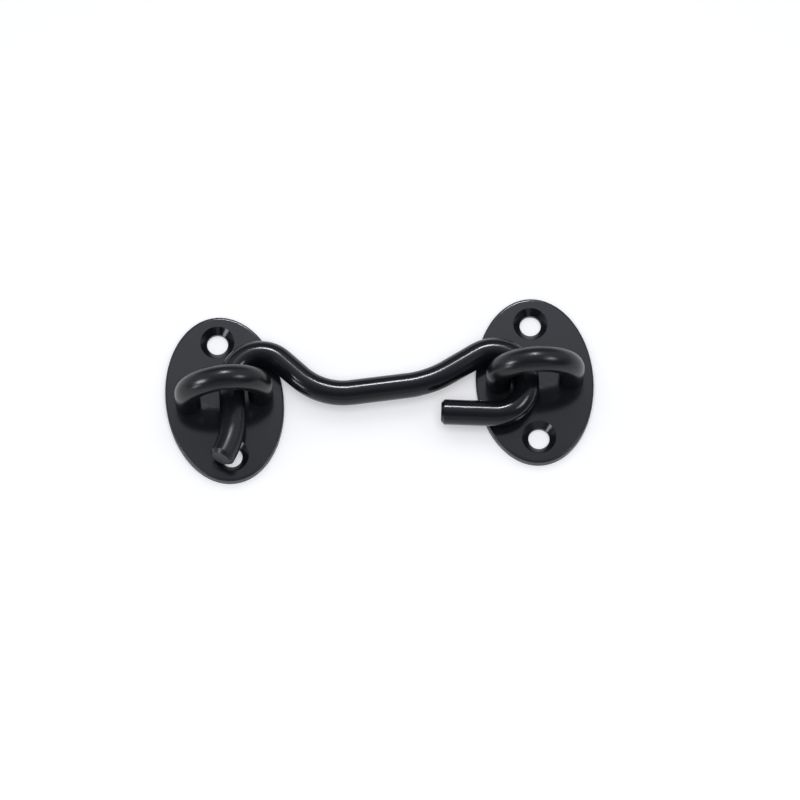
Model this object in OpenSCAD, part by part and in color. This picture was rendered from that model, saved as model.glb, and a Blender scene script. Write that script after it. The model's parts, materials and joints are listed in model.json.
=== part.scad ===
// Hook and eye latch: two oval plates, each with a riveted U-shaped eye, and one bent bar.
// The bar's closed end hangs for good on a leg of the pivot eye. Its open end drops into the keeper eye.
// X runs from the keeper to the pivot, Y up the plates, Z out of the surface that they are screwed to.
// The origin lies midway between the plates, on that surface.

/* [Layout] */
// Distance between the centres of the two eyes
eye_pitch = 76; // [70:1:100]
// Angle at which the keeper plate is turned against the pivot plate
keeper_turn = 4; // [-4:0.5:5]

/* [Plates] */
// Width of each oval plate
plate_w = 28.8; // [28:0.1:34]
// Height of each oval plate
plate_h = 42.5; // [41:0.5:50]
// Thickness of each plate
plate_t = 2.5; // [2.2:0.1:4]
// Radius of the rolled upper edge
edge_r = 0.4; // [0.3:0.1:1.2]

/* [Screw holes] */
// Distance between the two screw holes of a plate
screw_pitch = 29.3; // [27:0.1:30]
// Diameter of a screw hole
screw_d = 5.2; // [4:0.1:5.6]
// Diameter of the countersink at the plate's face
sink_d = 8.4; // [7:0.1:9]

/* [Eyes] */
// Diameter of the eye's bar
eye_d = 6.2; // [5:0.1:6.4]
// Clear width between the legs of an eye
eye_gap = 11.6; // [11.4:0.1:13]
// Clear height under the crown of an eye
eye_clear = 12.3; // [11:0.1:16]
// Diameter of the shank that each leg puts through the plate
shank_d = 4.2; // [3:0.1:4.5]
// Diameter of the shank's riveted head, flush with the plate's back
rivet_d = 6.2; // [5.5:0.1:7]
// Gap all round between the shank and its hole
shank_gap = 0.05; // [0.02:0.01:0.1]

/* [Hook] */
// Diameter of the hook's bar
bar_d = 6.2; // [5:0.1:6.3]
// Gap between the bar and the plates
bar_lift = 0.4; // [0.3:0.1:0.8]
// Width of the bevel at both ends of the bar
bevel = 0.8; // [0.4:0.1:1.2]
// Slope of the bar's straight middle
mid_slope = 3.8; // [2:0.2:8]
// Height of the middle, where it passes between the plates
mid_y = -1.1; // [-2:0.1:0]
// Thinning of the bar's radius where it is bent
bend_draw = 0.02; // [0.02:0.01:0.05]
// Bend radius where the middle turns up to the keeper
knee_r = 15.8; // [10:0.2:20]
// Bend radius where the middle turns up to the pivot
shoulder_r = 26; // [20:1:40]

/* [Hook, pivot end] */
// Gap between the bar and the pivot leg that it goes round
pivot_gap = 0.5; // [0.4:0.1:0.9]
// Height of the crest over the pivot leg
pivot_crest = 7.1; // [7:0.1:8]
// Bend radius of that crest
pivot_r = 7.8; // [7.5:0.1:8]
// Slope up to that crest
pivot_slope = 28; // [22:1:32]
// Drop of the tail under the pivot leg
tail_drop = 10; // [9.6:0.1:11]
// Bend radius into the tail
tail_r = 7.5; // [6:0.1:8]
// Length of the tail, from the pivot leg's axis
tail_l = 14.6; // [10:0.2:16]
// Slope of the tail
tail_slope = 5.6; // [2:0.2:7]

/* [Hook, keeper end] */
// Gap between the bar and the keeper leg beside it
keeper_gap = 0.8; // [0.6:0.1:1]
// Height of the crest over the keeper leg
keeper_crest = 9.9; // [9.7:0.1:11]
// Bend radius of that crest
keeper_r = 7.2; // [6.8:0.1:7.4]
// Slope up to that crest
keeper_slope = 46; // [40:1:50]
// Drop from the keeper eye to where the tip bends away
tip_drop = 11; // [10:0.1:11.4]
// Bend radius of the tip
tip_r = 20; // [14:0.5:20.5]
// Length of the bent tip
tip_l = 7.1; // [7:0.1:8]
// Angle of the tip away from the pivot
tip_lean = 30; // [20:1:31]
// Angle of the tip away from the plate
tip_lift = 13; // [8:1:16]

/* [Hidden] */
$fn = 96;

// Reach of a cut past the face that it opens
past = 1;
// Angle by which a bend runs into the straights beside it
run_in = 0.5;
finish = "#1c1c1e";

keeper_x = -eye_pitch / 2;
pivot_x = eye_pitch / 2;

// An eye's legs stand this far from its middle, which is also the radius of its crown
leg_x = (eye_gap + eye_d) / 2;
// Height at which the legs end and the crown begins
spring_z = plate_t + eye_clear + eye_d / 2 - leg_x;
rivet_h = (rivet_d - shank_d) / 2;
sink_h = (sink_d - screw_d) / 2;

// The bar lies in one plane, apart from its lifted tip
bar_z = plate_t + bar_lift + bar_d / 2;
pivot_leg = pivot_x - leg_x;
keeper_leg = keeper_x + leg_x;
pivot_side = pivot_leg + (eye_d + bar_d) / 2 + pivot_gap;
keeper_side = keeper_leg - (eye_d + bar_d) / 2 - keeper_gap;

// Corners of the bar's centre line before bending
tail_end = [pivot_leg - tail_l, -tail_drop + (pivot_side - pivot_leg + tail_l) * tan(tail_slope)];
tail_corner = [pivot_side, -tail_drop];
pivot_corner = [pivot_side, pivot_crest - pivot_r + pivot_r * tan(45 + pivot_slope / 2)];
keeper_corner = [keeper_side, keeper_crest - keeper_r + keeper_r * tan(45 + keeper_slope / 2)];
tip_corner = [keeper_side, -tip_drop];
tip_end = [
    tip_corner.x - tip_l * cos(tip_lift) * sin(tip_lean),
    tip_corner.y - tip_l * cos(tip_lift) * cos(tip_lean),
    bar_z + tip_l * sin(tip_lift)
];
shoulder = on_middle(pivot_corner, tan(pivot_slope));
knee = on_middle(keeper_corner, -tan(keeper_slope));

// Each corner of the bar, with the radius that it is bent to
BENDS = [
    [at_bar(tail_end), 0],
    [at_bar(tail_corner), tail_r],
    [at_bar(pivot_corner), pivot_r],
    [at_bar(shoulder), shoulder_r],
    [at_bar(knee), knee_r],
    [at_bar(keeper_corner), keeper_r],
    [at_bar(tip_corner), tip_r],
    [tip_end, 0]
];

// Point where a line of the given slope through p meets the line of the bar's middle
function on_middle(p, slope) =
    let (x = (mid_y - p.y + slope * p.x) / (slope - tan(mid_slope)))
    [x, mid_y + x * tan(mid_slope)];

// A plan point, raised to the plane of the bar
function at_bar(p) = [p.x, p.y, bar_z];

function unit(v) = v / norm(v);
function way(i) = unit(BENDS[i + 1][0] - BENDS[i][0]);
function turn(i) = acos(way(i - 1) * way(i));

// Length of bar that the bend at a corner takes from each side of it
function setback(i) = BENDS[i][1] == 0 ? 0 : BENDS[i][1] * tan(turn(i) / 2);

// Half section of a disc as wide as the plate, with a rolled upper edge
module disc_section() {
    difference() {
        square([plate_w / 2, plate_t]);
        translate([plate_w / 2 - edge_r, plate_t - edge_r])
            difference() {
                square(edge_r + past);
                circle(edge_r);
            }
    }
}

// Oval blank: a turned disc, stretched to the plate's height one quarter at a time
module oval_blank() {
    for (quarter = [0:3])
        scale([1, plate_h / plate_w, 1])
            rotate(90 * quarter)
                rotate_extrude(angle = 90)
                    disc_section();
}

module screw_hole() {
    translate([0, 0, -past])
        cylinder(d = screw_d, h = plate_t + 2 * past);
    translate([0, 0, plate_t - sink_h])
        cylinder(d1 = screw_d, d2 = sink_d + 2 * past, h = sink_h + past);
}

// Shank and riveted head under an eye's leg, or the hole for them with a gap all round
module rivet(gap) {
    translate([0, 0, -gap])
        cylinder(d1 = rivet_d + 6 * gap, d2 = shank_d + 2 * gap, h = rivet_h + 2 * gap);
    cylinder(d = shank_d + 2 * gap, h = plate_t + gap);
}

module plate() {
    difference() {
        oval_blank();
        for (side = [-1, 1]) {
            translate([0, side * screw_pitch / 2, 0])
                screw_hole();
            translate([side * leg_x, 0, 0])
                rivet(shank_gap);
        }
    }
}

module eye() {
    for (side = [-1, 1])
        translate([side * leg_x, 0, 0]) {
            translate([0, 0, plate_t])
                cylinder(d = eye_d, h = spring_z - plate_t);
            rivet(0);
        }
    translate([0, 0, spring_z])
        rotate([90, 0, 0])
            rotate_extrude(angle = 180)
                translate([leg_x, 0])
                    circle(d = eye_d);
}

module at_keeper() {
    translate([keeper_x, 0, 0])
        rotate(keeper_turn)
            children();
}

module at_pivot() {
    translate([pivot_x, 0, 0])
        children();
}

// Straight stretch of bar between the bends at corners i and i + 1, bevelled at a free end
module straight(i) {
    start = BENDS[i][0] + setback(i) * way(i);
    stop = BENDS[i + 1][0] - setback(i + 1) * way(i);
    length = norm(stop - start);
    first = i == 0 ? bevel : 0;
    last = i == len(BENDS) - 2 ? bevel : 0;
    translate(start)
        rotate([0, acos(way(i).z), atan2(way(i).y, way(i).x)])
            rotate_extrude()
                polygon([
                    [0, 0],
                    [bar_d / 2 - first, 0],
                    [bar_d / 2, first],
                    [bar_d / 2, length - last],
                    [bar_d / 2 - last, length],
                    [0, length]
                ]);
}

// Bend at corner i: a piece of a ring, whose first radius, first tangent and axis are the frame.
// It is drawn a little thinner than the straights, and runs into them at both ends.
module bend(i) {
    into = way(i - 1);
    axis = unit(cross(into, way(i)));
    spoke = cross(into, axis);
    centre = BENDS[i][0] - setback(i) * into - BENDS[i][1] * spoke;
    multmatrix([for (k = [0:2]) [spoke[k], into[k], axis[k], centre[k]]])
        rotate(-run_in)
            rotate_extrude(angle = turn(i) + 2 * run_in)
                translate([BENDS[i][1], 0])
                    circle(d = bar_d - 2 * bend_draw);
}

module keeper_plate() {
    color(finish) at_keeper() plate();
}

module keeper_eye() {
    color(finish) at_keeper() eye();
}

module pivot_plate() {
    color(finish) at_pivot() plate();
}

module pivot_eye() {
    color(finish) at_pivot() eye();
}

module hook() {
    color(finish) {
        for (i = [0:len(BENDS) - 2])
            straight(i);
        for (i = [1:len(BENDS) - 2])
            bend(i);
    }
}

keeper_plate();
keeper_eye();
pivot_plate();
pivot_eye();
hook();
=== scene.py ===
"""Looks of a black enamelled hook and eye latch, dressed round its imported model.

Metres, in the model's own frame: X from the keeper plate to the pivot plate, Y up the plates, Z out of
the surface that they are screwed to.
"""

import json
import math

import bpy
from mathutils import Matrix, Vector

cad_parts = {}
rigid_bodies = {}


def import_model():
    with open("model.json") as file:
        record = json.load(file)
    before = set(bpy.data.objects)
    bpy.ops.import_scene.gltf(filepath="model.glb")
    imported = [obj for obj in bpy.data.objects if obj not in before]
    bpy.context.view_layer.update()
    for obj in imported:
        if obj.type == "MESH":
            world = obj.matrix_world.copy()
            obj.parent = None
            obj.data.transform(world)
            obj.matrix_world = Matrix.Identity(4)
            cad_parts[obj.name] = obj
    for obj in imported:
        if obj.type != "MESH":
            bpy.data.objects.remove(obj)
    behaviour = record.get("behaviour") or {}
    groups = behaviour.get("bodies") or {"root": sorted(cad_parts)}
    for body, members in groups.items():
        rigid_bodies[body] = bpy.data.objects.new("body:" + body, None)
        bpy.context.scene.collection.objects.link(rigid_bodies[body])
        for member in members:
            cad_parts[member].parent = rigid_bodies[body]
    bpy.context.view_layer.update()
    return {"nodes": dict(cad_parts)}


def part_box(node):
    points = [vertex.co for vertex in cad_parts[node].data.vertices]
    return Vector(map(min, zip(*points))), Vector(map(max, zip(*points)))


for leftover in list(bpy.data.objects):
    bpy.data.objects.remove(leftover)

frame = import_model()

MM = 0.001

# Sizes of the real piece that the finishes follow
PLATE_LOW, PLATE_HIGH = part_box("pivot_plate")
PLATE_T = PLATE_HIGH.z
PLATE_HALF = (PLATE_HIGH - PLATE_LOW) / 2
PIVOT_X = (PLATE_LOW.x + PLATE_HIGH.x) / 2
KEEPER_TURN = math.radians(4)


class Sock:
    """An output socket. Python's operators on it add the Math nodes of the expression."""

    def __init__(self, tree, socket):
        self.tree = tree
        self.socket = socket

    def math(self, operation, *values):
        inputs = dict(enumerate(values))
        return add_node(self.tree, "ShaderNodeMath", {"operation": operation}, inputs)

    def __add__(self, other):
        return self.math("ADD", self, other)

    def __radd__(self, other):
        return self.math("ADD", other, self)

    def __sub__(self, other):
        return self.math("SUBTRACT", self, other)

    def __rsub__(self, other):
        return self.math("SUBTRACT", other, self)

    def __mul__(self, other):
        return self.math("MULTIPLY", self, other)

    def __rmul__(self, other):
        return self.math("MULTIPLY", other, self)

    def __truediv__(self, other):
        return self.math("DIVIDE", self, other)

    def step(self, low, high):
        """0 below low, 1 above high, and a smooth rise between them."""
        settings = {"interpolation_type": "SMOOTHSTEP"}
        inputs = {"Value": self, "From Min": low, "From Max": high}
        return add_node(self.tree, "ShaderNodeMapRange", settings, inputs)


def add_node(tree, kind, settings=None, inputs=None, out=0):
    """A node of that kind with its settings, then its sockets' values or links, and one output wrapped."""
    node = tree.nodes.new(kind)
    for name, value in (settings or {}).items():
        setattr(node, name, value)
    for key, value in (inputs or {}).items():
        if isinstance(value, Sock):
            tree.links.new(value.socket, node.inputs[key])
        else:
            node.inputs[key].default_value = value
    return Sock(tree, node.outputs[out])


def new_tree(name):
    """An empty material and its node tree."""
    material = bpy.data.materials.new(name)
    material.use_nodes = True
    material.node_tree.nodes.clear()
    return material, material.node_tree


def close_tree(tree, shader, output="ShaderNodeOutputMaterial"):
    """Links the finished shader to the output of its material or world."""
    end = tree.nodes.new(output)
    tree.links.new(shader.socket, end.inputs["Surface"])


def noise(tree, place, size, detail=2.0):
    """Noise from 0 to 1 whose blotches are about the given size across, in metres."""
    inputs = {"Vector": place, "Scale": 1.0 / size, "Detail": detail}
    return add_node(tree, "ShaderNodeTexNoise", None, inputs)


def rim_wear_and_highlight(centre_x, turn):
    """For a plate: 1 on the rim of the oval and 0 from half a millimetre inside it, where the film is thin
    and its paler paint is partly wear and partly a painted highlight along the edge.
    """

    def film(tree, place):
        x = add_node(tree, "ShaderNodeSeparateXYZ", None, {0: place}, out=0) - centre_x
        y = add_node(tree, "ShaderNodeSeparateXYZ", None, {0: place}, out=1)
        across = (x * math.cos(turn) + y * math.sin(turn)) / PLATE_HALF.x
        along = (y * math.cos(turn) - x * math.sin(turn)) / PLATE_HALF.y
        return (across * across + along * along).step(0.94, 0.99)

    return film


def rub_film(points, reach):
    """For a bar: how thin the film is where it rubs, 1 at the points and 0 from reach away."""

    def film(tree, place):
        rubbed = 0.0
        for point in points:
            settings = {"operation": "DISTANCE"}
            away = add_node(tree, "ShaderNodeVectorMath", settings, {0: place, 1: point}, out=1)
            rubbed = 1.0 - away.step(0.2 * reach, reach) + rubbed
        return rubbed

    return film


# Sizes across of the enamel's clouds, grain, orange peel and slow swells
CLOUD = 7 * MM
GRAIN = 0.3 * MM
RIPPLE = 1.6 * MM
SWELL = 9 * MM
ENAMEL_IOR = 1.4


def enamel(name, film, tone, rough, peel, dull):
    """Black enamel: a dark coat, cloudy and grainy in tone and gloss, paler and duller where it is thin; on
    the plates' rims that paler paint is also a painted highlight along the edge.

    rough is its roughness, peel the depth of its orange peel and dull the roughness that a thin film adds.
    """
    material, tree = new_tree(name)
    place = add_node(tree, "ShaderNodeTexCoord", out="Object")
    cloud = noise(tree, place, CLOUD)
    grain = noise(tree, place, GRAIN)
    ripple = noise(tree, place, RIPPLE, 0.0)
    swell = noise(tree, place, SWELL, 0.0)
    thin = film(tree, place) * (0.3 + 0.7 * grain)
    # Paler where the film is thin: wear at the rubbed places, and on the plates' rims partly wear and partly
    # a painted highlight along the edge
    light = 0.25 * cloud + 0.45 * grain - 0.15 + 0.35 * thin
    dark = [0.8 * c for c in tone] + [1.0]
    pale = [2.4 * c for c in tone] + [1.0]
    mix = {"data_type": "RGBA"}
    colour = add_node(tree, "ShaderNodeMix", mix, {0: light, 6: dark, 7: pale}, out=2)
    gloss = rough - 0.02 + 0.03 * cloud + 0.01 * grain + dull * thin
    bump = {"Height": ripple + 4.0 * swell, "Strength": 1.0, "Distance": peel}
    normal = add_node(tree, "ShaderNodeBump", None, bump)
    sockets = {"Base Color": colour, "Roughness": gloss, "Normal": normal, "IOR": ENAMEL_IOR}
    close_tree(tree, add_node(tree, "ShaderNodeBsdfPrincipled", None, sockets))
    return material


# Places that rub: the pivot leg and the keeper leg against the bar, and the limb that drops into the keeper
PIVOT_RUB = (32.2 * MM, 0.0, 6 * MM)
KEEPER_RUB = (-29.3 * MM, 4.2 * MM, 6 * MM)
LIMB_RUB = (-38.0 * MM, -14.0 * MM, 8 * MM)
EYE_FILM = rub_film([PIVOT_RUB, KEEPER_RUB], 3 * MM)
HOOK_FILM = rub_film([LIMB_RUB], 14 * MM)

# Coats: the plates and the hook are glossier than the eyes, and the plates a little paler than the bars
BAR_TONE = (0.0045, 0.0048, 0.006)
PLATE_COAT = {"tone": (0.0062, 0.0066, 0.0084), "rough": 0.15, "peel": 0.0007 * MM, "dull": 0.4}
EYE_COAT = {"tone": BAR_TONE, "rough": 0.26, "peel": 0.0003 * MM, "dull": 0.04}
HOOK_COAT = {"tone": BAR_TONE, "rough": 0.17, "peel": 0.0005 * MM, "dull": 0.24}

FINISHES = {
    # The plates' rim masks paint a pale edge that is partly wear and partly a painted highlight
    "keeper_plate": enamel("keeper_plate_enamel", rim_wear_and_highlight(-PIVOT_X, KEEPER_TURN), **PLATE_COAT),
    "pivot_plate": enamel("pivot_plate_enamel", rim_wear_and_highlight(PIVOT_X, 0.0), **PLATE_COAT),
    "keeper_eye": enamel("keeper_eye_enamel", EYE_FILM, **EYE_COAT),
    "pivot_eye": enamel("pivot_eye_enamel", EYE_FILM, **EYE_COAT),
    "hook": enamel("hook_enamel", HOOK_FILM, **HOOK_COAT),
}
for node_name, finish in FINISHES.items():
    frame["nodes"][node_name].material_slots[0].material = finish

# Floor: half the width of the sheet, its height a hair below the plates, its colour and its own glow
FLOOR_HALF = 5.0
FLOOR_LEVEL = -0.05 * MM
PAPER = (0.84, 0.82, 0.79, 1.0)
PAPER_GLOW = 0.25


def floor_paper():
    """Pale paper, which rays from the camera, gloss and glass see a little brighter than it is lit."""
    material, tree = new_tree("floor_paper")
    paper = add_node(tree, "ShaderNodeBsdfDiffuse", None, {"Color": PAPER})
    seen = 0.0
    for kind in ("Is Camera Ray", "Is Glossy Ray", "Is Transmission Ray"):
        ray = add_node(tree, "ShaderNodeLightPath", out=kind)
        seen = ray.math("MAXIMUM", ray, seen)
    glow = add_node(tree, "ShaderNodeEmission", None, {"Strength": PAPER_GLOW * seen})
    close_tree(tree, add_node(tree, "ShaderNodeAddShader", None, {0: paper, 1: glow}))
    return material


def lay_floor():
    """A square sheet of paper under the plates."""
    mesh = bpy.data.meshes.new("floor")
    turns = [(-1, -1), (1, -1), (1, 1), (-1, 1)]
    corners = [(x * FLOOR_HALF, y * FLOOR_HALF, FLOOR_LEVEL) for x, y in turns]
    mesh.from_pydata(corners, [], [(0, 1, 2, 3)])
    mesh.materials.append(floor_paper())
    floor = bpy.data.objects.new("floor", mesh)
    bpy.context.scene.collection.objects.link(floor)


lay_floor()

LAMP_COLOUR = (0.95, 0.98, 1.06)


def softbox(name, toward, distance, size, power, diffuse=True, glossy=True):
    """A rectangular lamp that faces the origin. It may light only matt surfaces, or show only in gloss.

    toward is its azimuth, from +Y towards +X, and its elevation, in degrees. size is its width and height.
    """
    a, e = (math.radians(angle) for angle in toward)
    light = bpy.data.lights.new(name, "AREA")
    light.shape = "RECTANGLE"
    light.size, light.size_y = size
    light.energy = power
    light.color = LAMP_COLOUR
    lamp = bpy.data.objects.new(name, light)
    lamp.location = Vector((math.sin(a) * math.cos(e), math.cos(a) * math.cos(e), math.sin(e))) * distance
    lamp.rotation_euler = (-lamp.location).to_track_quat("-Z", "Y").to_euler()
    lamp.visible_camera = False
    lamp.visible_diffuse = diffuse
    lamp.visible_glossy = glossy
    bpy.context.scene.collection.objects.link(lamp)


softbox("fill_overhead", (180, 76), 0.7, (0.4, 0.4), 2.4, glossy=False)
softbox("strip_behind", (2.6, 56), 0.8, (0.12, 0.08), 2.1, diffuse=False)
softbox("panel_overhead", (0, 64.5), 0.45, (0.3, 0.12), 0.085)
softbox("lamp_left", (-105, 35), 0.25, (0.065, 0.065), 0.27, diffuse=False)
softbox("lamp_right", (108, 50), 0.5, (0.14, 0.14), 0.55, diffuse=False)
softbox("lamp_low", (-124, 15), 0.5, (0.13, 0.1), 0.32, diffuse=False)

WORLD_TINT = (0.93, 0.97, 1.07, 1.0)


def studio_world():
    """Soft light all round: brightest overhead, dim above the camera, and a little brighter low in front."""
    world = bpy.data.worlds.new("studio")
    bpy.context.scene.world = world
    world.use_nodes = True
    tree = world.node_tree
    tree.nodes.clear()
    toward = add_node(tree, "ShaderNodeTexCoord", out="Generated")
    y = add_node(tree, "ShaderNodeSeparateXYZ", None, {0: toward}, out=1)
    in_front = 1.0 - y.step(-0.92, -0.7)
    overhead = y.step(-0.45, 0.3)
    behind = y.step(0.62, 0.85)
    level = 0.2 + 0.45 * in_front + 0.65 * overhead - 0.6 * behind
    light = add_node(tree, "ShaderNodeBackground", None, {"Color": WORLD_TINT, "Strength": level})
    close_tree(tree, light, "ShaderNodeOutputWorld")


studio_world()

# Camera: a long lens, set so that the middle of the plates falls where the photograph has it
FRAME_PX = 800
MM_PER_PX = 0.2445
SIGHT_ELEVATION = 71.0
SIGHT_AZIMUTH = -3.6
MIDDLE_PX = (379.7, 389.4)
LENS = 200.0
SENSOR = 36.0
FAR = 20.0


def photo_camera():
    """A camera on the line of sight, as far off as the scale asks, with the middle on its own pixel."""
    a, e = math.radians(SIGHT_AZIMUTH), math.radians(SIGHT_ELEVATION)
    back = Vector((math.sin(a) * math.cos(e), -math.cos(a) * math.cos(e), math.sin(e)))
    right = Vector((math.cos(a), math.sin(a), 0.0))
    up = back.cross(right)
    step = MM_PER_PX * MM
    half = FRAME_PX / 2
    aim = Vector((0, 0, PLATE_T)) + right * (half - MIDDLE_PX[0]) * step - up * (half - MIDDLE_PX[1]) * step
    data = bpy.data.cameras.new("photo_camera")
    data.lens = LENS
    data.sensor_width = SENSOR
    data.clip_end = FAR
    camera = bpy.data.objects.new("photo_camera", data)
    camera.location = aim + back * (half * step * LENS / (SENSOR / 2))
    camera.rotation_euler = (-back).to_track_quat("-Z", "Y").to_euler()
    bpy.context.scene.collection.objects.link(camera)
    bpy.context.scene.camera = camera


photo_camera()

bpy.context.scene.view_settings.view_transform = "Standard"
